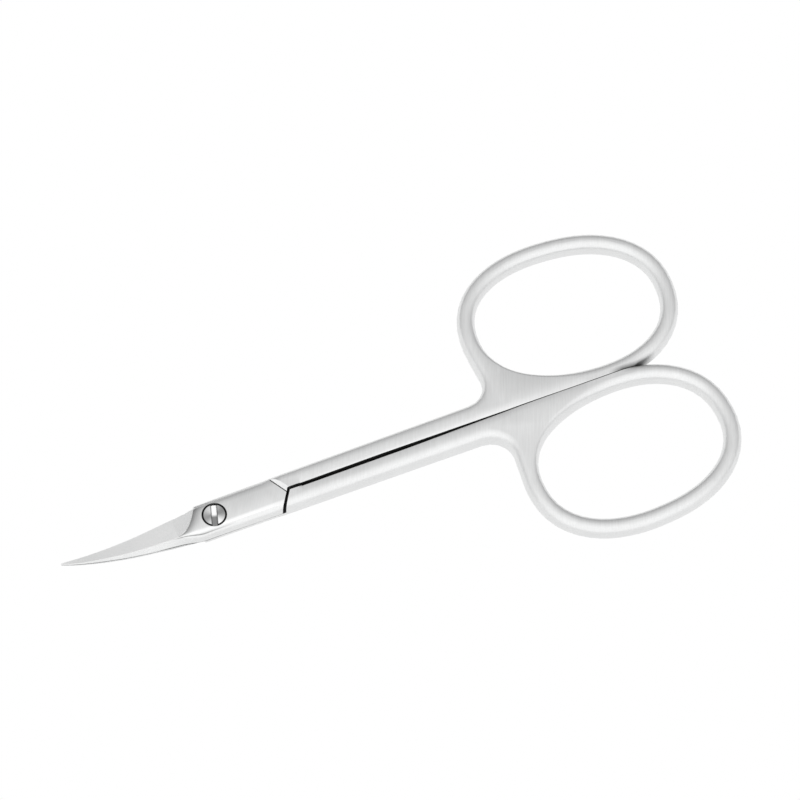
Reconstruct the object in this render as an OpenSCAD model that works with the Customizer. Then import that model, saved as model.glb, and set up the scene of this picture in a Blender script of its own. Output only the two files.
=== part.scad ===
// Cuticle scissors: two forged halves on a slotted pivot screw, curved pointed blades, oval finger rings.
// X runs from the pivot to the finger rings, Y across the scissors, Z up through the screw head.
// The origin is on the pivot axis, at the ground underside of the joint.

/* [Blades] */
// Length of the blades, from the pivot to the tips
blade_len = 21.45; // [17:0.1:26]
// Half width of a blade where it leaves the joint
blade_half_w = 2.05; // [1.7:0.01:2.3]
// Half width of the blunt end of the tip
tip_half_w = 0.1; // [0.08:0.01:0.25]
// How fast the outline draws in towards the tip, 1 for straight sides
taper_power = 0.9; // [0.7:0.01:1]
// Distance from the pivot to where the blades start to curve up
curve_start = 9; // [7:0.1:12]
// Radius of that curve
curve_r = 26.7; // [20:0.1:60]
// Thickness left at the cutting edge
edge_t = 0.12; // [0.06:0.01:0.25]
// How far each cutting edge passes the back of the other blade
edge_overlap = 0.15; // [0.05:0.01:0.3]
// How much the back of a blade leans in over its height, as a share of the half width
back_lean = 0.3; // [0.1:0.01:0.4]
// How far both blades stand off the centre line of the scissors
blade_shift = 0.09; // [0:0.01:0.3]

/* [Ground bevel] */
// Distance from the pivot to the heel of the bevel, where its ridge meets the joint
heel_x = 5.45; // [4.5:0.05:6.5]
// Distance of the heel from the centre line
heel_y = 1.25; // [0.9:0.05:1.5]
// Length of the curved run-out from the heel to the far side of the joint
runout_len = 3.3; // [2.6:0.05:3.6]
// Length of the ramp that the grinding wheel leaves at the run-out
ramp_len = 0.3; // [0.2:0.05:0.8]

/* [Joint] */
// Half width of the joint at the screw
joint_half_w = 2.52; // [2.3:0.01:3]
// Thickness of the two joint plates together
joint_t = 3; // [2.6:0.05:3.6]
// Running gap between the two plates
plate_gap = 0.06; // [0.02:0.01:0.1]
// Distance from the pivot to the end of a plate, on the centre line
plate_end = 10.35; // [8:0.05:12]
// Angle of the plate's end from square
plate_rake = 32; // [15:1:40]
// Slit between the plate's end and the shoulder of the other half
shoulder_gap = 0.42; // [0.2:0.01:0.7]
// Distance from the pivot to the step where the ground flat ends, on the centre line
step_x = 10.05; // [8:0.05:12]
// Slope of that step
step_slope = 31; // [20:1:60]
// Width and depth of the fine groove that the grinding wheel leaves at the foot of the step
groove_w = 0.18; // [0.1:0.01:0.3]
groove_depth = 0.08; // [0.02:0.01:0.15]

/* [Pivot screw] */
// Diameter of the screw
screw_d = 2; // [1.6:0.05:2.4]
// Diameter of its head
head_d = 3.12; // [2.8:0.02:3.5]
// Thickness of its head
head_h = 0.85; // [0.6:0.05:1]
// Width of the driver slot
slot_w = 0.78; // [0.4:0.02:0.9]
// Depth of the driver slot
slot_depth = 0.45; // [0.2:0.05:0.5]
// Angle of the slot from the Y axis
slot_turn = 16; // [-90:1:90]
// Running clearance round the screw in the upper half
screw_fit = 0.05; // [0.02:0.01:0.09]
// Clearance round the head in its counterbore
head_fit = 0.12; // [0.05:0.01:0.2]
// Clearance round the screw in the lower half, where its thread holds
thread_fit = 0.02; // [0.01:0.01:0.04]

/* [Shanks] */
// Thickness of a shank
shank_t = 3.5; // [3.1:0.05:4]
// How much the half width of the pair grows for each millimetre towards the rings
shank_taper = 0.0065; // [0:0.0005:0.02]
// Width of the slit between the shanks at the joint
slit_w = 0.44; // [0.2:0.02:0.6]
// Width of the slit where the rings meet
slit_end_w = 0.06; // [0.04:0.01:0.2]
// How far the slit stands off the centre line at the joint
slit_shift = 0.11; // [0:0.01:0.2]
// Depth of the rounding on the outer side
side_round = 1.25; // [0.9:0.05:1.4]

/* [Finger rings] */
// Distance from the pivot to the centre of the rings
ring_x = 55.6; // [48:0.1:64]
// Length of a ring along its middle line
ring_len = 28.2; // [24:0.1:31]
// Width of a ring along its middle line
ring_w = 20.6; // [17:0.1:23]
// Squareness of the oval, 2 for a true ellipse
ring_power = 2.24; // [2:0.01:2.5]
// How much fuller the ring is on its three blunt sides
ring_egg = 0.002; // [0:0.0002:0.01]
// Angle that the ring leans in towards the centre line at its far end
ring_lean = 4.5; // [0:0.1:10]
// Width of the band
band_w = 2.45; // [2:0.05:3]
// Thickness of the band
band_t = 3; // [2.4:0.05:3.4]
// How much of the band is ground away where the two rings meet
ring_meet = 0.45; // [0.15:0.05:0.5]
// Radius of the fillet between a shank and its ring
fillet_r = 3.2; // [1.5:0.1:4]

/* [Hidden] */
plate_top = joint_t / 2;
shank_top = shank_t / 2;
ring_y = ring_w / 2 + band_w / 2 - ring_meet;
rake = tan(plate_rake);
shoulder_x = plate_end + shoulder_gap / cos(plate_rake);
// The blank stands proud of its ground faces by this much
stock = 0.6;
flat_stock = 0.03;
// How far the cutters reach to the side and in depth, past the blank's widest and deepest places
reach_y = 2 * joint_half_w + 1;
reach_z = shank_top + curve_z(-blade_len) + 1;
// Distance from the tip over which the edges come to pass each other
tip_run = 6;

// Counts of points round and along the blank
cap_steps = 10;
ring_steps = 58;
web_steps = 6;
cap_pts = cap_steps + 1;
sec_pts = 2 * cap_pts;
ring_pts = ring_steps + web_steps;

function mix(a, b, f) = a + (b - a) * f;
function unit(v) = v / norm(v);
function clip(f) = max(0, min(1, f));
function ease(f) = let (c = clip(f)) c * c * (3 - 2 * c);

// Outline of the joint and blades, as a half width at distance x from the pivot
function joint_w_at(x) = joint_half_w + shank_taper * x;
function tip_share(x) = clip((x + blade_len) / (blade_len - heel_x));
function blade_w_at(x) = mix(tip_half_w, blade_half_w, pow(tip_share(x), taper_power));
function half_w(x) = x < -heel_x ? blade_w_at(x)
    : x > runout_len - heel_x ? joint_w_at(x)
    : mix(blade_half_w, joint_w_at(runout_len - heel_x), ease((x + heel_x) / runout_len));
function overlap_at(x) = edge_overlap * clip((x + blade_len) / tip_run)
    * clip((runout_len - heel_x - x) / runout_len);
// Height of the upward curve at distance x from the pivot
function curve_z(x) = let (u = min(0, max(x, -blade_len) + curve_start))
    curve_r - sqrt(curve_r * curve_r - u * u);
// Sideways shift of the blades, which runs out towards the pivot. Up is 1 for the upper half and -1 for
// the lower half
function shift_at(x, up) = -up * blade_shift * ease(-x / heel_x);

// The finger ring's middle line and the direction into its hole
function ring_r(a) = let (q = a + ring_lean)
    (1 - ring_egg * cos(3 * q)) * pow(pow(abs(cos(q)) * 2 / ring_len, ring_power)
    + pow(abs(sin(q)) * 2 / ring_w, ring_power), -1 / ring_power);
function ring_pt(a) = [ring_x + ring_r(a) * cos(a), ring_y + ring_r(a) * sin(a)];
function ring_in(a) = let (d = ring_pt(a + 1) - ring_pt(a - 1)) unit([-d[1], d[0]]);

// Rounded end of a section: from the middle point c, depth d towards dir, height h each way
function cap(c, dir, d, h, n, z) = [for (k = [0:cap_steps]) let (f = 90 - 180 * k / cap_steps,
    p = c + dir * d * pow(cos(f), 2 / n)) [p[0], p[1], z + h * sign(f) * pow(abs(sin(f)), 2 / n)]];
function reversed(l) = [for (k = [len(l) - 1:-1:0]) l[k]];

// Angles round the ring between which it opens into the web and the shank
web_top = 203;
web_low = 222;
flank_start = 184;
web_end = 256;
// Extra depth of the band's outer side where the two rings touch, and the angles over which it runs out
contact_stock = 1;
contact_end = 280;
contact_fade = 18;
// Angles over which the web's thickness fades into the band, below and above the opening
web_fade = 50;
flank_fade = 40;
// Half width of the flat left on top of the band, and depth of the rounding beside it
crown = 0.12;
band_cap = band_w / 2 - crown;
// Depth of the web's rounding towards the hole
web_edge = 0.7;
// Distance from the centre line at which the web and the shank start to slope down to the slit
web_in = 1.1;
// Powers of the rounded sections, 2 for an ellipse
ring_n = 2.2;
shank_n = 2.6;
// The opening of the ring, and the centre of the fillet between its flank and the shank
window_x = ring_pt(180)[0] + 0.3;
fillet = [window_x - band_cap - fillet_r, joint_w_at(window_x - band_cap - fillet_r) + fillet_r];
flank = [window_x, fillet[1]];

function web_share(a) = a < 360 ? ease(1 - (a - web_low) / web_fade)
    : ease(1 - (web_top + 360 - a) / flank_fade);
function ring_a(i) = i <= web_steps ? mix(web_top, web_low, i / web_steps)
    : mix(web_low, web_top + 360, (i - web_steps) / ring_steps);
function ring_out(a) = ring_pt(a) - ring_in(a) * crown;
function out_depth(a) = band_cap + contact_stock * ease(1 - (a - contact_end) / contact_fade);

// Middle point, direction and depth of the ring section's outer end
function outer_end(i) = let (a = ring_a(i), n = -ring_in(a),
        f = sqrt(clip((a - web_low) / (web_end - web_low))),
        g = clip((a - 360 - flank_start) / (web_top - flank_start)))
    i == 0 ? [flank, [-1, 0], band_cap]
    : i <= web_steps ? [[window_x, mix(flank[1], web_in, i / web_steps)], [0, -1], web_in + stock]
    : f < 1 ? [[mix(window_x, ring_out(a)[0], f), mix(web_in, ring_out(web_end)[1], f)],
        unit(mix([0, -1], -ring_in(web_end), f)), mix(web_in + stock, out_depth(web_end), f)]
    : g > 0 ? [mix(ring_out(flank_start), flank, g), unit(mix(n, [-1, 0], g)), band_cap]
    : [ring_out(a), n, out_depth(a)];

function ring_sec(i) = let (a = ring_a(i), s = web_share(a), h = mix(band_t / 2, shank_top, s),
        d = mix(band_cap, web_edge, s), o = outer_end(i))
    concat(cap(ring_pt(a) + ring_in(a) * (band_w / 2 - d), ring_in(a), d, h, ring_n, 0),
        reversed(cap(o[0], o[1], o[2], h, mix(ring_n, shank_n, s), 0)));

// Section of a shank, joint or blade: outer side o, inner side i, each [point, depth, power],
// height h each way, lift z
function bar_sec(o, dir, i, h, z) = let (
        between = [for (k = [1:web_steps - 1]) mix(o[0], i[0], k / web_steps)])
    concat(cap(o[0], dir, o[1], h, o[2], z),
        [for (p = between) [p[0], p[1], z - h]],
        reversed(cap(i[0], [0, -1], i[1], h, i[2], z)),
        [for (p = reversed(between)) [p[0], p[1], z + h]]);

// Sections through the fillet, where the outer side turns from the ring's flank to the shank
function fillet_sec(f) = let (t = -90 * f, d = mix(band_cap, side_round, f),
        p = fillet + [cos(t), sin(t)] * (fillet_r + d))
    bar_sec([p, d, shank_n], -[cos(t), sin(t)],
        [[p[0], web_in], web_in + stock, shank_n], shank_top, 0);

// Sections along the shank and the joint. The inner side of the blank widens just before the plate's end
widen_start = plate_end + 2;
widen_end = plate_end + 0.3;
function top_at(x) = mix(plate_top + flat_stock, shank_top, ease((x - step_x + 2.5) / 2));
function shank_sec(x) = let (w = joint_w_at(x), f = clip((widen_start - x) / (widen_start - widen_end)),
        y = mix(web_in, -(w - side_round), f))
    bar_sec([[x, w - side_round], side_round, shank_n], [0, 1],
        [[x, y], mix(web_in + stock, side_round, f), shank_n], top_at(x), 0);

// Sections of the blades, whose back is a plain leaning wall
function blade_sec(x, up) = let (w = half_w(x), b = w - overlap_at(x),
        f = clip((x + heel_x) / runout_len), d = mix(back_lean * w, side_round, f),
        r = min(side_round, w * 0.9), c = shift_at(x, up))
    bar_sec([[x, c + w - r], r, shank_n], [0, 1], [[x, c + d - b], d, mix(1, shank_n, f)],
        plate_top + flat_stock, up * curve_z(x));

joint_xs = [for (x = [widen_end, plate_end, step_x - 1.25, step_x - 2.5, 4, 0]) x];
runout_xs = [for (k = [0:6]) runout_len - heel_x - runout_len * k / 6];
blade_xs = [for (k = [1:16]) mix(-heel_x, -blade_len, k / 16)];

function bar_rows(up) = concat(
    [for (k = [1:5]) fillet_sec(k / 5)],
    [for (f = [0.3, 0.7, 1]) shank_sec(mix(fillet[0], widen_start, f))],
    [for (x = joint_xs) shank_sec(x)],
    [for (x = runout_xs) blade_sec(x, up)],
    [for (x = blade_xs) blade_sec(x, up)]);

// Two triangles between neighbouring points of neighbouring rows
function quad(a, b, c, d) = [[a, b, c], [a, c, d]];
function skin(rows) = let (n = len(rows[0])) [for (r = [0:len(rows) - 2], k = [0:n - 1],
    q = quad(rows[r][k], rows[r + 1][k], rows[r + 1][(k + 1) % n], rows[r][(k + 1) % n])) q];

// One forged blank: the ring is a closed loop of sections, and the shank grows out of the open web
module blank(up) {
    rows = bar_rows(up);
    row_pts = len(rows[0]);
    first = ring_pts * sec_pts;
    opening = concat(
        [for (k = [sec_pts - 1:-1:cap_pts]) k],
        [for (i = [1:web_steps - 1]) i * sec_pts + cap_pts],
        [for (k = [cap_pts:sec_pts - 1]) web_steps * sec_pts + k],
        [for (i = [web_steps - 1:-1:1]) i * sec_pts + sec_pts - 1]);
    loops = concat([opening],
        [for (r = [0:len(rows) - 1]) [for (k = [0:row_pts - 1]) first + r * row_pts + k]]);
    end = loops[len(rows)];
    tip = first + len(rows) * row_pts;
    polyhedron(
        points = concat(
            [for (i = [0:ring_pts - 1], p = ring_sec(i)) p],
            [for (r = rows, p = r) p],
            [[-blade_len, shift_at(-blade_len, up), up * curve_z(-blade_len)]]),
        faces = concat(
            [for (i = [0:ring_pts - 1], k = [0:sec_pts - 1])
                if (!(i < web_steps && k >= cap_pts && k < sec_pts - 1))
                    let (j = (i + 1) % ring_pts, l = (k + 1) % sec_pts)
                    each quad(i * sec_pts + k, i * sec_pts + l, j * sec_pts + l, j * sec_pts + k)],
            skin(loops),
            [for (k = [0:row_pts - 1]) [end[k], tip, end[(k + 1) % row_pts]]]),
        convexity = 8);
}

// Everything past the centre line, from the plate's end to the rings
module side_cut(up) {
    y0 = slit_w / 2 - up * slit_shift;
    y1 = slit_end_w / 2;
    linear_extrude(height = 3 * shank_t, center = true)
        polygon([[plate_end - reach_y * rake, -reach_y], [plate_end + y0 * rake, y0],
            [mix(plate_end, ring_x, 0.3), y0], [ring_x - 5, y1], [ring_x + ring_len, y1],
            [ring_x + ring_len, -reach_y]]);
}

// Faces of a cutter made of rows of six points, three along the bottom and three along the top
function cutter_faces(n) = concat(
    [for (r = [0:n - 2], k = [0:5], q = let (l = (k + 1) % 6)
        quad(r * 6 + k, r * 6 + l, (r + 1) * 6 + l, (r + 1) * 6 + k)) q],
    [[5, 4, 1, 0], [4, 3, 2, 1]],
    [for (f = [[0, 1, 4, 5], [1, 2, 3, 4]]) [for (k = f) (n - 1) * 6 + k]]);

// The other half's room: below the parting face as far as the shoulder
module parting_cut(up) {
    xs = concat([-blade_len - 2, -blade_len], [for (k = [1:12]) mix(-blade_len, -curve_start, k / 12)]);
    function row(x, dx, z) = [for (p = [[-dx, 1, -reach_z], [0, 0, -reach_z], [0, -1, -reach_z],
        [0, -1, z], [0, 0, z], [-dx, 1, z]]) [x + p[0], p[1] * reach_y, p[2]]];
    rows = concat([for (x = xs) row(x, 0, plate_gap / 2 + up * curve_z(x))],
        [row(shoulder_x, reach_y * rake, plate_gap / 2)]);
    polyhedron(points = [for (r = rows, p = r) p], faces = cutter_faces(len(rows)), convexity = 4);
}

// The wide bevel ground across the face of the blade, with its curved run-out into the joint
module bevel_cut(up) {
    side = 4;
    // Length over which the ridge turns into the run-out
    heel_turn = 0.2;
    function run_y(x) = -heel_y + (joint_half_w + heel_y) * pow(max(0, x + heel_x) / (runout_len + 0.2), 2);
    function ridge_h(x) = mix(edge_t, plate_top, pow(tip_share(x), 0.8));
    function ridge_y(x) = let (w = half_w(x), d = back_lean * w)
        shift_at(x, up) + overlap_at(x) - w + d * ridge_h(x) / plate_top;
    function face_z(x, y) = let (u = min(x, -heel_x), e = half_w(u) + shift_at(u, up))
        edge_t + (e - y) * (ridge_h(u) - edge_t) / (e - ridge_y(u));
    function row(x, y0, y1) = let (z = up * curve_z(x), top = z + 2 * joint_t)
        [[x, side, z + face_z(x, side)], [x, y0, z + face_z(x, y0)], [x, y1, z + (x < -heel_x
            ? face_z(x, y1) : max(plate_top, face_z(x, y1)))], [x, y1, top], [x, y0, top], [x, side, top]];
    xs = concat([-blade_len - 1], [for (k = [0:16]) mix(-blade_len, -heel_x - heel_turn, k / 16)]);
    out = [for (k = [0:12]) mix(-heel_x, runout_len - heel_x + 0.4, k / 12)];
    rows = concat([for (x = xs) row(x, 0, ridge_y(x) - 1.5)],
        [for (x = out) row(x, min(side - 0.1, run_y(x + ramp_len)), min(side - 0.2, run_y(x)))]);
    polyhedron(points = [for (r = rows, p = r) p], faces = cutter_faces(len(rows)), convexity = 4);
}

// The flat ground on top of the joint, which ends in a fine groove and a slanted step up to the shank
module flat_cut() {
    x0 = -heel_x - 1.5;
    foot = step_x * cos(plate_rake);
    rise = 2;
    rotate([0, 0, plate_rake])
        rotate([90, 0, 0])
            linear_extrude(height = 4 * reach_y, center = true)
                polygon([[x0, plate_top], [foot - groove_w, plate_top], [foot, plate_top - groove_depth],
                    [foot + (rise + groove_depth) / tan(step_slope), plate_top + rise],
                    [x0, plate_top + rise]]);
}

// A half lying on the centre plane, with its blade curved up or down
module half(up) {
    difference() {
        blank(up);
        side_cut(up);
        parting_cut(up);
        bevel_cut(up);
        flat_cut();
    }
}

module upper_half() {
    color([0.80, 0.81, 0.82])
        translate([0, 0, plate_top])
            difference() {
                half(1);
                cylinder(d = screw_d + 2 * screw_fit, h = 3 * joint_t, center = true, $fn = 64);
                translate([0, 0, plate_top - head_h])
                    cylinder(d = head_d + 2 * head_fit, h = joint_t, $fn = 64);
            }
}

module lower_half() {
    color([0.76, 0.77, 0.78])
        translate([0, 0, plate_top])
            difference() {
                rotate([180, 0, 0])
                    half(-1);
                cylinder(d = screw_d + 2 * thread_fit, h = 3 * joint_t, center = true, $fn = 64);
            }
}

module pivot_screw() {
    color([0.70, 0.71, 0.73])
        difference() {
            union() {
                cylinder(d = screw_d, h = joint_t - head_h / 2, $fn = 64);
                translate([0, 0, joint_t - head_h + plate_gap / 2])
                    cylinder(d = head_d, h = head_h - plate_gap / 2, $fn = 64);
            }
            translate([0, 0, joint_t])
                rotate([0, 0, -slot_turn])
                    cube([slot_w, 2 * head_d, 2 * slot_depth], center = true);
        }
}

upper_half();
lower_half();
pivot_screw();
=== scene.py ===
# %% [markdown]
# Cuticle scissors, dressed on their construction model.
#
# The construction model gives every piece its true size and place. This lesson adds what a
# workshop adds last: broken edges, brushed and ground steel, and the light to see them by.

# %% Load the construction model
import math

import bmesh
import bpy
from mathutils import Matrix, Vector


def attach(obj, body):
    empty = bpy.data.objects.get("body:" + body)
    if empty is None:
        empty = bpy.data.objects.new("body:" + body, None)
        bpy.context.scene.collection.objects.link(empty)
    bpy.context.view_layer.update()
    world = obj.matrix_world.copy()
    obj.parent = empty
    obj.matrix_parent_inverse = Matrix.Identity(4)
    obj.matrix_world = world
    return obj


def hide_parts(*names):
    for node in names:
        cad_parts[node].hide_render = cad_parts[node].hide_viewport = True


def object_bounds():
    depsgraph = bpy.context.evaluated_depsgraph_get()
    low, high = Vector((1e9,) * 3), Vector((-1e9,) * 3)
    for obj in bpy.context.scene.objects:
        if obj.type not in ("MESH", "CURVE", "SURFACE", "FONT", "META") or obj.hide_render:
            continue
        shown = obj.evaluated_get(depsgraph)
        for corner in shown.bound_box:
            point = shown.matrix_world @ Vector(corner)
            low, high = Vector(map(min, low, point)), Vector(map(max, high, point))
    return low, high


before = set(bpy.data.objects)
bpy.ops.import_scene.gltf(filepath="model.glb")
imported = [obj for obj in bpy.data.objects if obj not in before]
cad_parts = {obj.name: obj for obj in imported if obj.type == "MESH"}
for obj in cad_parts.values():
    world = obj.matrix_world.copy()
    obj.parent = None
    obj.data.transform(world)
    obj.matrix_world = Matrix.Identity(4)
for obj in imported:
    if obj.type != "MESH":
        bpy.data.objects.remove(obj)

cad_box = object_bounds()
MM = 0.001
print("pieces:", ", ".join(sorted(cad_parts)))
print("box in mm:", [round(v / MM, 2) for v in cad_box[1] - cad_box[0]])

# %% [markdown]
# One forged half is worked by several tools, and each leaves its own finish: a belt on the shanks
# and rings, a fine stone on the joint and a grinding wheel on the bevel. The slit, the hole, the
# shoulder's walls and the groove get a near-black painted shade instead. The zone of a face follows
# from where it lies and where it looks. Side is 1 for the upper half and -1 for the lower half,
# which is the same forging turned over.

# %% Zones of a half
# the fifth zone is a near-black painted shade for the slit, the hole, the shoulder's walls and the
# groove
BELT, PLATE, BEVEL, INSIDE, SHADE_ZONE, STEP = range(6)
MID = 1.5                          # height of the plane where the halves part, all in mm
RAKE = math.radians(32)            # turn of the slanted shoulder and of the plate's end
HEEL, RIDGE_Y = 5.45, 1.25         # where the bevel runs out on the plate
TIP_X, CURVE_X, CURVE_RADIUS = -21.45, -9, 26.7
PLATE_X, PLATE_HEIGHT = (-6, 9.5), (1.38, 1.51)
BEVEL_X, BEVEL_TOP = -2, 1.49
SHOULDER_X, SLIT_X = (7.5, 14), (9, 60)
SLIT_REACH, HOLE_REACH = 0.7, 1.75
STEP_SINE, GROOVE_SINE, NEARLY = -0.515, 0.406, 0.06


def between(value, ends):
    return ends[0] < value < ends[1]


def curve_rise(x):
    """Height of the blades' upward curve, in mm."""
    past = min(0.0, max(x, TIP_X) - CURVE_X)
    return CURVE_RADIUS - math.sqrt(CURVE_RADIUS ** 2 - past * past)


def zone_of(face, side):
    """The zone of a face of a half, from its middle in mm and its normal."""
    c, n = face.calc_center_median() / MM, face.normal
    out = side * n.z
    height = side * (c.z - MID - curve_rise(c.x))
    along = n.x * math.cos(RAKE)
    across = side * n.y * math.sin(RAKE)
    upright = abs(out) < 0.2
    at_shoulder = between(c.x, SHOULDER_X)
    in_hole = math.hypot(c.x, c.y) < HOLE_REACH and height > 0.1 and (abs(out) < 0.3 or height < 0.9)
    shoulder_wall = at_shoulder and max(abs(along + across), abs(along - across)) > 0.97
    slit_wall = between(c.x, SLIT_X) and abs(c.y) < SLIT_REACH
    # the hole, the shoulder's walls and the slit's walls get the near-black painted shade
    if in_hole or upright and (shoulder_wall or slit_wall):
        return SHADE_ZONE
    if out < -0.6 and abs(height) < 0.1:
        return INSIDE
    if out > 0.95 and between(height, PLATE_HEIGHT) and between(c.x, PLATE_X):
        return PLATE
    if c.x < BEVEL_X and out > 0.5 and height < BEVEL_TOP and side * c.y > -RIDGE_Y:
        return BEVEL
    if at_shoulder and out > 0.7 and abs(along + across - STEP_SINE) < NEARLY:
        return STEP
    # the groove at the foot of the step gets the near-black painted shade too
    if at_shoulder and out > 0.7 and abs(along + across - GROOVE_SINE) < NEARLY:
        return SHADE_ZONE
    return BELT


print("the tip rises", round(curve_rise(TIP_X), 2), "mm")

# %% [markdown]
# A slit cut between two flat walls has the same width all along. On the real pair the walls are
# filed back a little halfway along the shanks, so the slit bulges by a tenth of a millimetre on
# each side. Points of a copied mesh can simply be moved, as long as they don't pass each other.

# %% The filed slit
FILED_X, FILED_MOST, FILED_REACH, FILED_EASE = (10.8, 42), 25, 17, 3
FILED_BACK, FILED_LEAN, EDGE_REACH = 0.11, 0.03, 0.45


def file_slit(bm, side):
    """Moves the slit's edges back, most of all halfway along the shanks."""
    moved = 0
    for v in bm.verts:
        x, y, z = v.co / MM
        if abs(y) > EDGE_REACH or not between(x, FILED_X):
            continue
        bulge = 1 - ((x - FILED_MOST) / FILED_REACH) ** 2
        bulge *= min(1.0, (x - FILED_X[0]) / FILED_EASE)
        lean = FILED_LEAN if z > MID else -FILED_LEAN
        v.co.y += (side * FILED_BACK - lean) * bulge * MM
        moved += 1
    print("slit edge: moved", moved, "points by up to", FILED_BACK + FILED_LEAN, "mm")


# %% [markdown]
# Every edge of a real pair has been touched by a stone or a polishing wheel. A perfectly sharp
# edge reflects nothing, so it looks drawn; a broken edge a few hundredths of a millimetre wide
# catches one thin line of light. The loose triangles are first merged into clean faces. Then the
# crisp edges are marked, and a narrow bevel goes on those. Where a wall with the near-black painted
# shade ends, the bevel is narrower.

# %% A piece with its edges broken
CRISP, CRISP_AT_STEP, CRISP_BETWEEN_ZONES = 40, 20, 2
SAME_POINT, SAME_PLANE = 0.0005, math.radians(0.4)
# bevel weight where an edge meets the near-black painted shade
SHADE_ZONE_WEIGHT = 0.2


def broken_edges(node, name, width, body, zone, side=0):
    """Copies a node's mesh, merges it, gives each face its zone and rounds the crisp edges."""
    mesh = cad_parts[node].data.copy()
    mesh.name = name
    mesh.materials.clear()
    piece = bpy.data.objects.new(name, mesh)
    bpy.context.scene.collection.objects.link(piece)
    bm = bmesh.new()
    bm.from_mesh(mesh)
    bmesh.ops.remove_doubles(bm, verts=bm.verts, dist=SAME_POINT * MM)
    if side:
        file_slit(bm, side)
    bmesh.ops.dissolve_limit(bm, angle_limit=SAME_PLANE, verts=bm.verts, edges=bm.edges)
    for face in bm.faces:
        face.smooth = True
        face.material_index = zone(face)
    weight = bm.edges.layers.float.new("bevel_weight_edge")
    for edge in bm.edges:
        if not edge.is_manifold:
            continue
        angle = math.degrees(edge.calc_face_angle(0.0))
        zones = {face.material_index for face in edge.link_faces}
        edge.smooth = angle < (CRISP_BETWEEN_ZONES if len(zones) > 1 else CRISP)
        keen = angle > CRISP or angle > CRISP_AT_STEP and STEP in zones
        edge[weight] = 0 if not keen else SHADE_ZONE_WEIGHT if SHADE_ZONE in zones else 1
    bm.to_mesh(mesh)
    counts = [sum(f.material_index == k for f in bm.faces) for k in range(6)]
    holes = sum(not e.is_manifold for e in bm.edges)
    print(name, "faces in each zone:", counts, "open edges:", holes)
    bm.free()
    edges = piece.modifiers.new("broken edges", "BEVEL")
    edges.limit_method = "WEIGHT"
    edges.width = width * MM
    edges.segments = 2
    edges.use_clamp_overlap = True
    edges.harden_normals = True
    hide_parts(node)
    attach(piece, body)
    return piece


# %% [markdown]
# The screw has three zones: the turned head and end, the floor of the driver slot, and the walls,
# which get the same near-black painted shade as the deep walls of the halves. A half is told which
# side it is on, so that its slit is filed too.

# %% The three pieces
# the screw's walls get the near-black painted shade
TURNED, MILLED, SHADED_WALLS = range(3)


def screw_zone(face):
    height = face.calc_center_median().z / MM
    if abs(face.normal.z) < 0.5 or 0.1 < height < 2.4:
        return SHADED_WALLS
    return MILLED if 2.4 < height < 2.7 else TURNED


lower = broken_edges("lower_half", "lower_half_finished", 0.04, "lower", lambda f: zone_of(f, -1), -1)
upper = broken_edges("upper_half", "upper_half_finished", 0.04, "upper", lambda f: zone_of(f, 1), 1)
screw = broken_edges("pivot_screw", "pivot_screw_finished", 0.08, "lower", screw_zone)

# %% [markdown]
# Satin steel is not a flat grey. A belt leaves hundreds of fine, nearly parallel scratches, and
# each one tilts the surface a little. Noise stretched along the belt's direction gives both the
# tilt and a slight change of roughness. It is used by more than one finish, so it is a group.

# %% Grain group
def new_group(name, inputs, outputs):
    group = bpy.data.node_groups.new(name, "ShaderNodeTree")
    for label, kind, value in inputs:
        socket = group.interface.new_socket(label, in_out="INPUT", socket_type=kind)
        socket.default_value = value
    for label, kind in outputs:
        group.interface.new_socket(label, in_out="OUTPUT", socket_type=kind)
    return group, group.nodes.new("NodeGroupInput"), group.nodes.new("NodeGroupOutput")


def calc(tree, operation, *values, clamp=False):
    """A math node. Each value is a number or the output socket of another node."""
    node = tree.nodes.new("ShaderNodeMath")
    node.operation = operation
    node.use_clamp = clamp
    for slot, value in zip(node.inputs, values):
        if isinstance(value, (int, float)):
            slot.default_value = value
        else:
            tree.links.new(value, slot)
    return node.outputs[0]


def grain_group():
    group, into, out = new_group(
        "belt grain",
        [("Vector", "NodeSocketVector", (0, 0, 0)), ("Turn", "NodeSocketFloat", 0.0),
         ("Lines per mm", "NodeSocketFloat", 12.0), ("Stretch", "NodeSocketFloat", 0.04)],
        [("Lines", "NodeSocketFloat"), ("Patches", "NodeSocketFloat")])
    nodes, links = group.nodes, group.links
    turn = nodes.new("ShaderNodeVectorRotate")
    turn.rotation_type = "Z_AXIS"
    links.new(into.outputs["Vector"], turn.inputs["Vector"])
    links.new(into.outputs["Turn"], turn.inputs["Angle"])
    per_metre = calc(group, "MULTIPLY", into.outputs["Lines per mm"], 1000)
    along = calc(group, "MULTIPLY", per_metre, into.outputs["Stretch"])
    scale = nodes.new("ShaderNodeCombineXYZ")
    links.new(along, scale.inputs["X"])
    links.new(per_metre, scale.inputs["Y"])
    links.new(per_metre, scale.inputs["Z"])
    stretch = nodes.new("ShaderNodeVectorMath")
    stretch.operation = "MULTIPLY"
    links.new(turn.outputs["Vector"], stretch.inputs[0])
    links.new(scale.outputs["Vector"], stretch.inputs[1])
    lines = nodes.new("ShaderNodeTexNoise")
    lines.inputs["Scale"].default_value = 1.0
    lines.inputs["Detail"].default_value = 3.0
    lines.inputs["Roughness"].default_value = 0.6
    links.new(stretch.outputs["Vector"], lines.inputs["Vector"])
    patches = nodes.new("ShaderNodeTexNoise")
    patches.inputs["Scale"].default_value = 260.0
    patches.inputs["Detail"].default_value = 2.0
    links.new(into.outputs["Vector"], patches.inputs["Vector"])
    links.new(lines.outputs["Fac"], out.inputs["Lines"])
    links.new(patches.outputs["Fac"], out.inputs["Patches"])
    return group


GRAIN = grain_group()
print("grain group:", [s.name for s in GRAIN.interface.items_tree])

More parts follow.
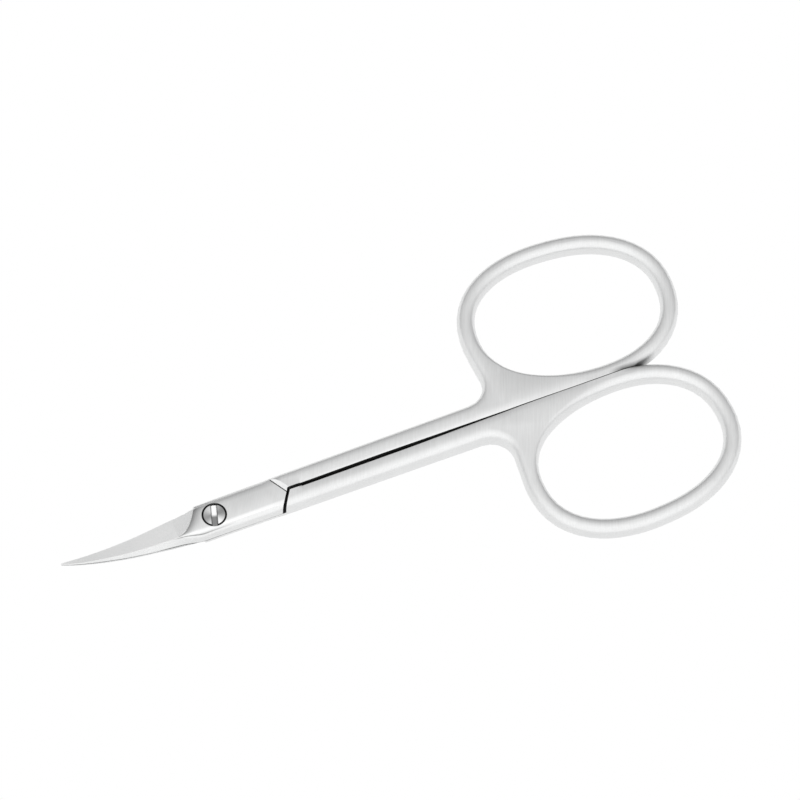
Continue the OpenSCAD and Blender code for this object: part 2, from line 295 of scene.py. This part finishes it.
# %% [markdown]
# A finish is the Principled shader as a full metal, with three things on it that change from place
# to place: the tone, the roughness and a very low relief. The relief goes into a Bump node whose
# distance is one millimetre, so every height can be written in millimetres.

# %% Steel with a grain
LINES_TO_PATCHES = 2.4
GRAIN_TONE, PLAIN_TONE = 0.09, 0.847
SCRATCH_DEPTH = 0.01


def place_mm(tree):
    """The place on the piece as x, y and z in mm."""
    place = tree.nodes.new("ShaderNodeTexCoord")
    parts = tree.nodes.new("ShaderNodeSeparateXYZ")
    tree.links.new(place.outputs["Object"], parts.inputs["Vector"])
    return [calc(tree, "MULTIPLY", parts.outputs[axis], 1000) for axis in "XYZ"]


def steel(name, tone, roughness, turn, lines, stretch, tilt, spread, share=None, relief=None):
    """A steel finish: tone and roughness, and a grain turned from the X axis in degrees.

    Lines is how many scratches lie in a millimetre, stretch how short they are, tilt how deep and
    spread how much the roughness changes. Share and relief are functions that get the node tree.
    Share returns what part of the tone is left at each place, and relief a height in mm.
    """
    made = bpy.data.materials.new(name)
    made.use_nodes = True
    tree = made.node_tree
    nodes, links = tree.nodes, tree.links
    shader = nodes["Principled BSDF"]
    shader.inputs["Metallic"].default_value = 1.0
    place = nodes.new("ShaderNodeTexCoord")
    grain = nodes.new("ShaderNodeGroup")
    grain.node_tree = GRAIN
    grain.inputs["Turn"].default_value = math.radians(-turn)
    grain.inputs["Lines per mm"].default_value = lines
    grain.inputs["Stretch"].default_value = stretch
    links.new(place.outputs["Object"], grain.inputs["Vector"])
    shade = nodes.new("ShaderNodeMapRange")
    shade.inputs["To Min"].default_value = roughness - spread
    shade.inputs["To Max"].default_value = roughness + spread
    links.new(grain.outputs["Lines"], shade.inputs["Value"])
    links.new(shade.outputs["Result"], shader.inputs["Roughness"])
    worn = calc(tree, "MULTIPLY_ADD", grain.outputs["Lines"], LINES_TO_PATCHES,
                grain.outputs["Patches"])
    level = calc(tree, "MULTIPLY_ADD", worn, GRAIN_TONE * tone, PLAIN_TONE * tone)
    if share:
        level = calc(tree, "MULTIPLY", level, share(tree))
    colour = nodes.new("ShaderNodeCombineColor")
    for channel, cast in (("Red", 0.995), ("Green", 1.0), ("Blue", 1.0)):
        links.new(calc(tree, "MULTIPLY", level, cast), colour.inputs[channel])
    links.new(colour.outputs["Color"], shader.inputs["Base Color"])
    height = calc(tree, "MULTIPLY", grain.outputs["Lines"], SCRATCH_DEPTH * tilt)
    if relief:
        height = calc(tree, "ADD", height, relief(tree))
    bump = nodes.new("ShaderNodeBump")
    bump.inputs["Strength"].default_value = 1.0
    bump.inputs["Distance"].default_value = MM
    links.new(height, bump.inputs["Height"])
    links.new(bump.outputs["Normal"], shader.inputs["Normal"])
    print("finish:", name, "| tone", tone, "| roughness", roughness)
    return made


# %% [markdown]
# A painted shade or highlight on the steel is a band or an edge at a known place, so a few small
# helpers draw them all. A mask is 1 inside the mark and 0 outside it. Giving both of its ends in
# millimetres makes the mark soft.

# %% Masks
def fade(tree, value, start, end):
    """0 before the start and 1 after the end."""
    return calc(tree, "DIVIDE", calc(tree, "SUBTRACT", value, start), end - start, clamp=True)


def line_at(tree, value, middle, width):
    """1 on a line where the value is at its middle, and 0 at this width from it and beyond."""
    away = calc(tree, "ABSOLUTE", calc(tree, "SUBTRACT", value, middle))
    return calc(tree, "MULTIPLY_ADD", away, -1.0 / width, 1.0, clamp=True)


def product(tree, first, *others):
    for other in others:
        first = calc(tree, "MULTIPLY", first, other)
    return first


def most(tree, first, *others):
    for other in others:
        first = calc(tree, "MAXIMUM", first, other)
    return first


def left_of(tree, mask, part):
    """What is left of the tone where a mask takes this part of it away."""
    return calc(tree, "MULTIPLY_ADD", mask, -part, 1.0)


def raked(tree, x, y, side):
    """Distance from the pivot at right angles to the slanted shoulder of a half."""
    return calc(tree, "MULTIPLY_ADD", x, math.cos(RAKE), product(tree, y, side * math.sin(RAKE)))


print("the shoulder is raked by", round(math.degrees(RAKE)), "degrees")

# %% [markdown]
# The stone that grinds the joint rocks, so the plate is domed and runs from grey to white across
# its width. The mesh stays flat, and the dome is a relief of up to 0.2 mm in the finish. A painted
# shade darkens the far edge, and a painted highlight brightens a band along the near edge. Where the
# bevel's wheel runs out, a painted shade stands for the dark of its hollow corner and fades within
# two millimetres. A painted shade also darkens the ring round the screw.

# %% The ground plate
RUN_OUT_LENGTH, RUN_OUT_WIDTH = 3.5, 3.77
RUN_OUT_SHADE, BAND_GLOW, FAR_SHADE = 0.6, 0.24, 0.22
HOLE_RIM, SCREW_RIM, HEAD_RIM = 1.67, 1.06, 1.47


def rim_shade(tree, x, y, rim, way):
    """Painted shade at the rim of a round hole (way 1) or of a round head (way -1)."""
    radius = calc(tree, "SQRT", calc(tree, "ADD", product(tree, x, x), product(tree, y, y)))
    past = calc(tree, "MULTIPLY", calc(tree, "SUBTRACT", radius, rim), 15.0 * way, clamp=True)
    return calc(tree, "MULTIPLY_ADD", past, 0.98, 0.02)


def plate_share(side, rim):
    """Painted shade at the run-out, at the far edge and at the screw's rim, and a painted highlight
    in the white band along one edge.
    """
    def share(tree):
        x, y, _ = place_mm(tree)
        across = calc(tree, "MULTIPLY", y, side)
        ahead = calc(tree, "DIVIDE", calc(tree, "ADD", across, RIDGE_Y), RUN_OUT_WIDTH)
        edge = product(tree, calc(tree, "SQRT", most(tree, ahead, 0.0)), RUN_OUT_LENGTH)
        past = calc(tree, "SUBTRACT", calc(tree, "ADD", x, HEEL - 0.1), edge)
        shade = calc(tree, "POWER", fade(tree, past, 2.0, 0.0), 2.0)
        flat = fade(tree, across, -1.486, -1.2)
        highlight_band = calc(tree, "SUBTRACT", 1.0, flat)
        far = fade(tree, across, 1.071, 1.786)
        return product(tree, left_of(tree, product(tree, shade, flat), RUN_OUT_SHADE),
                       left_of(tree, highlight_band, -BAND_GLOW), left_of(tree, far, FAR_SHADE),
                       rim_shade(tree, x, y, rim, 1))
    return share


def dome(across_y, across_x):
    """A relief that falls away with the square of the distance from the middle line."""
    def relief(tree):
        x, y, _ = place_mm(tree)
        return calc(tree, "MULTIPLY_ADD", product(tree, x, x), -across_x,
                    product(tree, y, y, -across_y))
    return relief


print("rims of the hole, the screw's end and the head, in mm:", HOLE_RIM, SCREW_RIM, HEAD_RIM)

# %% [markdown]
# Painted shade darkens the seams, where little light reaches. It is darkest where the two rings
# part from each other, and thin along the end of the slit, along the seam of the two blades and
# under the plate's edge. The lines are given by their place on the half.

# %% Painted shade in the seams
SEAM_DARK, EDGE_DARK, BACK_GLOW = 0.9, 0.75, 0.13
BEVEL_SLOPE = 0.08


def parting_shade(tree, x, y, z):
    """Painted shade between the two rings, on the flank that looks at the other ring."""
    flank = product(tree, fade(tree, y, 1.3, 0.5), fade(tree, z, 3.0, 2.6))
    near = most(tree, fade(tree, y, 0.7, 0.0), flank)
    return product(tree, near, calc(tree, "GREATER_THAN", y, -0.05),
                   fade(tree, x, 57.0, 59.0), fade(tree, x, 64.3, 61.3))


def slit_end(tree, x, y):
    """Painted shade: a thin dark line where the slit closes between the webs."""
    return product(tree, line_at(tree, y, -0.02, 0.09), fade(tree, x, 38.0, 50.0))


def joint_lines(tree, x, z):
    """Painted shade along the seam between the two blades, and a painted dark line under the edge of
    the plate.
    """
    seam = product(tree, calc(tree, "SQRT", line_at(tree, z, MID, 0.12)),
                   fade(tree, x, 6.0, -3.0), fade(tree, x, -8.8, -7.0))
    level = calc(tree, "ABSOLUTE", calc(tree, "SUBTRACT", z, MID))
    edge = product(tree, line_at(tree, level, 1.33, 0.08),
                   fade(tree, x, 2.5, -2.5), fade(tree, x, -6.4, -5.4))
    return most(tree, seam, product(tree, edge, EDGE_DARK))


def seam_shade_share(tree):
    """What the painted shade of the seams leaves of the tone. A painted highlight makes the blades'
    backs a little brighter.
    """
    x, y, z = place_mm(tree)
    seam_shade = most(tree, parting_shade(tree, x, y, z), slit_end(tree, x, y), joint_lines(tree, x, z))
    return product(tree, left_of(tree, seam_shade, SEAM_DARK),
                   left_of(tree, fade(tree, x, -3.5, -7.5), -BACK_GLOW))


def shoulder_shade_share(side):
    """Painted shade that turns the parting face near black towards the shoulder."""
    def share(tree):
        x, y, _ = place_mm(tree)
        return calc(tree, "MULTIPLY_ADD", fade(tree, raked(tree, x, y, side), 8.7, 7.7), 0.95, 0.05)
    return share


def bevel_slope(side):
    """A relief that turns the bevel about 5 degrees more to its back than the mesh does."""
    def relief(tree):
        _, y, _ = place_mm(tree)
        return calc(tree, "MULTIPLY", y, BEVEL_SLOPE * side)
    return relief


print("a seam keeps", round(1 - SEAM_DARK, 2), "of the tone")

# %% [markdown]
# The two halves share the belt's satin, the near-black painted shade of the deep walls and the
# stoned step. The plate, the bevel and the parting face depend on which way the half lies, so each
# half gets its own. The painted shade is near black and mirrors hardly anything, so it is the one
# finish that isn't a metal.

# %% Finishes of the halves
belt = steel("belt satin steel", tone=0.8, roughness=0.31, turn=68, lines=5, stretch=0.05,
             tilt=0.25, spread=0.04, share=seam_shade_share)
# near-black painted shade for the deep walls; not a metal
black_shade = steel("painted black shade", tone=0.05, roughness=0.5, turn=0, lines=3, stretch=0.3,
            tilt=0.4, spread=0.08)
black_shade.node_tree.nodes["Principled BSDF"].inputs["Metallic"].default_value = 0.0
step = steel("stoned step steel", tone=0.8, roughness=0.34, turn=58, lines=9, stretch=0.05,
             tilt=0.2, spread=0.04)


def half_finishes(side, rim, name):
    """The finishes of a half, in the order of its zones."""
    plate = steel(name + " plate steel", tone=0.8, roughness=0.3, turn=60, lines=10, stretch=0.04,
                  tilt=0.2, spread=0.04, share=plate_share(side, rim), relief=dome(0.035, 0))
    bevel = steel(name + " bevel steel", tone=1.0, roughness=0.55, turn=80, lines=9, stretch=0.04,
                  tilt=0.2, spread=0.05, relief=bevel_slope(side))
    inside = steel(name + " inside steel", tone=0.8, roughness=0.4, turn=80, lines=8, stretch=0.05,
                   tilt=0.2, spread=0.04, share=shoulder_shade_share(side))
    return belt, plate, bevel, inside, black_shade, step


# %% [markdown]
# The screw's head was turned, and the bow-tie that its fine rings throw, bright towards the window
# and dark across it, is painted into its tone. The slot was milled afterwards, and painted shade
# darkens its lower end and its edges.

# %% Finishes of the screw
SLOT_TURN = math.radians(16)
TIE_TURN = math.radians(-10)
SLOT_SLOPE = 0.22
SLOT_SIDE, SLOT_LINE = 0.4, 0.11


def slot_edge_shade(tree, x, y):
    """Painted shade: a thin dark line along the milled edges of the slot."""
    off = calc(tree, "MULTIPLY_ADD", x, math.cos(SLOT_TURN), product(tree, y, -math.sin(SLOT_TURN)))
    return left_of(tree, line_at(tree, calc(tree, "ABSOLUTE", off), SLOT_SIDE, SLOT_LINE), 0.75)


def head_painted_light(tree):
    """The painted bow-tie of light and shade on the turned head, with the painted shade at the slot's
    edges and at the rim.
    """
    x, y, _ = place_mm(tree)
    angle = calc(tree, "MULTIPLY_ADD", calc(tree, "ARCTAN2", y, x), 2.0, TIE_TURN)
    tie = calc(tree, "MULTIPLY_ADD", calc(tree, "COSINE", angle), -0.32, 0.68)
    return product(tree, tie, slot_edge_shade(tree, x, y), rim_shade(tree, x, y, HEAD_RIM, -1))


def slot_shade_share(tree):
    """Painted shade in the lower end of the slot."""
    x, y, _ = place_mm(tree)
    way = calc(tree, "MULTIPLY_ADD", x, math.sin(SLOT_TURN), product(tree, y, math.cos(SLOT_TURN)))
    unshaded = calc(tree, "MULTIPLY_ADD", fade(tree, way, -0.16, 0.24), 0.75, 0.25)
    return product(tree, unshaded, slot_edge_shade(tree, x, y))


def slot_slope(tree):
    """A relief that turns the slot's floor about 12 degrees, as if the cutter had sloped it."""
    _, y, _ = place_mm(tree)
    return calc(tree, "MULTIPLY", y, SLOT_SLOPE)


turned = steel("turned steel", tone=1.0, roughness=0.2, turn=20, lines=12, stretch=0.05,
               tilt=0.2, spread=0.03, share=head_painted_light, relief=dome(0.1, 0.1))
milled = steel("milled slot steel", tone=1.0, roughness=0.3, turn=90, lines=9, stretch=0.3,
               tilt=0.3, spread=0.05, share=slot_shade_share, relief=slot_slope)

# %% [markdown]
# A face keeps the number of its zone, so the finishes go on each piece in the order of the zones.

# %% Finishes on the pieces
for piece, finishes in ((lower, half_finishes(-1, SCREW_RIM, "lower")),
                        (upper, half_finishes(1, HOLE_RIM, "upper")),
                        (screw, (turned, milled, black_shade))):
    for finish in finishes:
        piece.data.materials.append(finish)
    print(piece.name, "has", len(piece.data.materials), "finishes")

# %% [markdown]
# The pair lies on a plain white light table, so it has no shadow round it. To the camera the table
# is pure white, and to the steel it is a little less. Right under the shanks a painted shadow darkens
# it for the steel, as if the pair covered the glass there, since otherwise its light would shine up
# through the slit.

# %% Floor
TABLE_HALF, TABLE_GLOW = 1.5, 0.95
SHADOW_X, SHADOW_HALF = 34.0, 24.0


def light_table():
    mesh = bpy.data.meshes.new("light_table")
    floor = bpy.data.objects.new("light_table", mesh)
    bpy.context.scene.collection.objects.link(floor)
    top = cad_box[0].z - 0.02 * MM
    bm = bmesh.new()
    bmesh.ops.create_grid(bm, x_segments=1, y_segments=1, size=TABLE_HALF)
    bmesh.ops.translate(bm, verts=bm.verts, vec=(0, 0, top))
    bm.to_mesh(mesh)
    bm.free()
    made = bpy.data.materials.new("white light table")
    made.use_nodes = True
    tree = made.node_tree
    nodes, links = tree.nodes, tree.links
    nodes.remove(nodes["Principled BSDF"])
    glow = nodes.new("ShaderNodeEmission")
    path = nodes.new("ShaderNodeLightPath")
    x, y, _ = place_mm(tree)
    # painted shadow under the shanks, seen by the steel but not by the camera
    beside = fade(tree, calc(tree, "ABSOLUTE", y), 1.0, 1.8)
    along = calc(tree, "ABSOLUTE", calc(tree, "SUBTRACT", x, SHADOW_X))
    beyond = fade(tree, along, SHADOW_HALF, SHADOW_HALF + 3)
    lit = product(tree, most(tree, beside, beyond), TABLE_GLOW)
    links.new(most(tree, lit, path.outputs["Is Camera Ray"]), glow.inputs["Strength"])
    links.new(glow.outputs["Emission"], nodes["Material Output"].inputs["Surface"])
    mesh.materials.append(made)
    print("light table at", round(top / MM, 2), "mm")


light_table()

# %% [markdown]
# What shapes the steel is what it mirrors. The room is one smooth run of grey, from a darker far
# side to a large bright side overhead and behind the camera. A run of grey without lamps gives the
# long soft bands that rings and shanks show in a light tent.

# %% Room and lights
BRIGHT_SIDE = Vector((-0.3, -0.7, 0.65)).normalized()
ROOM_LEVELS = (0.0, 0.19), (0.18, 0.34), (0.31, 0.49), (0.62, 0.74), (0.9, 1.04)
ROOM_STRENGTH = 1.12


def room():
    world = bpy.data.worlds.new("studio")
    bpy.context.scene.world = world
    world.use_nodes = True
    tree = world.node_tree
    nodes, links = tree.nodes, tree.links
    place = nodes.new("ShaderNodeTexCoord")
    towards = nodes.new("ShaderNodeVectorMath")
    towards.operation = "DOT_PRODUCT"
    towards.inputs[1].default_value = BRIGHT_SIDE
    links.new(place.outputs["Generated"], towards.inputs[0])
    ramp = nodes.new("ShaderNodeValToRGB")
    stops = ramp.color_ramp.elements
    for position, level in ROOM_LEVELS:
        stop = stops[0] if position == 0.0 else stops.new(position)
        stop.position = position
        stop.color = (level, level, level, 1)
    stops.remove(stops[len(stops) - 1])
    half = calc(tree, "MULTIPLY_ADD", towards.outputs["Value"], 0.5, 0.5)
    links.new(half, ramp.inputs["Fac"])
    links.new(ramp.outputs["Color"], nodes["Background"].inputs["Color"])
    nodes["Background"].inputs["Strength"].default_value = ROOM_STRENGTH
    print("grey of the room from the far side to the bright side:", [v for p, v in ROOM_LEVELS])


room()

# %% [markdown]
# The camera stands where the photographer stood: 64 degrees above the table, turned 22 degrees
# to the left of the scissors, and half a metre away with a long lens.

# %% Camera
HIGH, TURN = math.radians(63.81), math.radians(-21.54)
SIDEWAYS, UPWARDS, DISTANCE = 24.696, 15.9, 497


def photographers_camera():
    right = Vector((math.cos(TURN), math.sin(TURN), 0))
    up = Vector((-math.sin(TURN) * math.sin(HIGH), math.cos(TURN) * math.sin(HIGH), math.cos(HIGH)))
    back = right.cross(up)
    data = bpy.data.cameras.new("camera")
    data.sensor_width = 36
    data.lens = 167.74
    data.clip_start = 0.05
    data.clip_end = 10
    data.dof.use_dof = False
    camera = bpy.data.objects.new("camera", data)
    bpy.context.scene.collection.objects.link(camera)
    pivot = Vector((0, 0, MID * MM))
    place = pivot + (SIDEWAYS * right + UPWARDS * up + DISTANCE * back) * MM
    camera.matrix_world = Matrix.Translation(place) @ Matrix((right, up, back)).transposed().to_4x4()
    bpy.context.scene.camera = camera
    return camera


camera = photographers_camera()
bpy.context.scene.view_settings.view_transform = "Standard"
print("camera at", [round(v, 3) for v in camera.location])
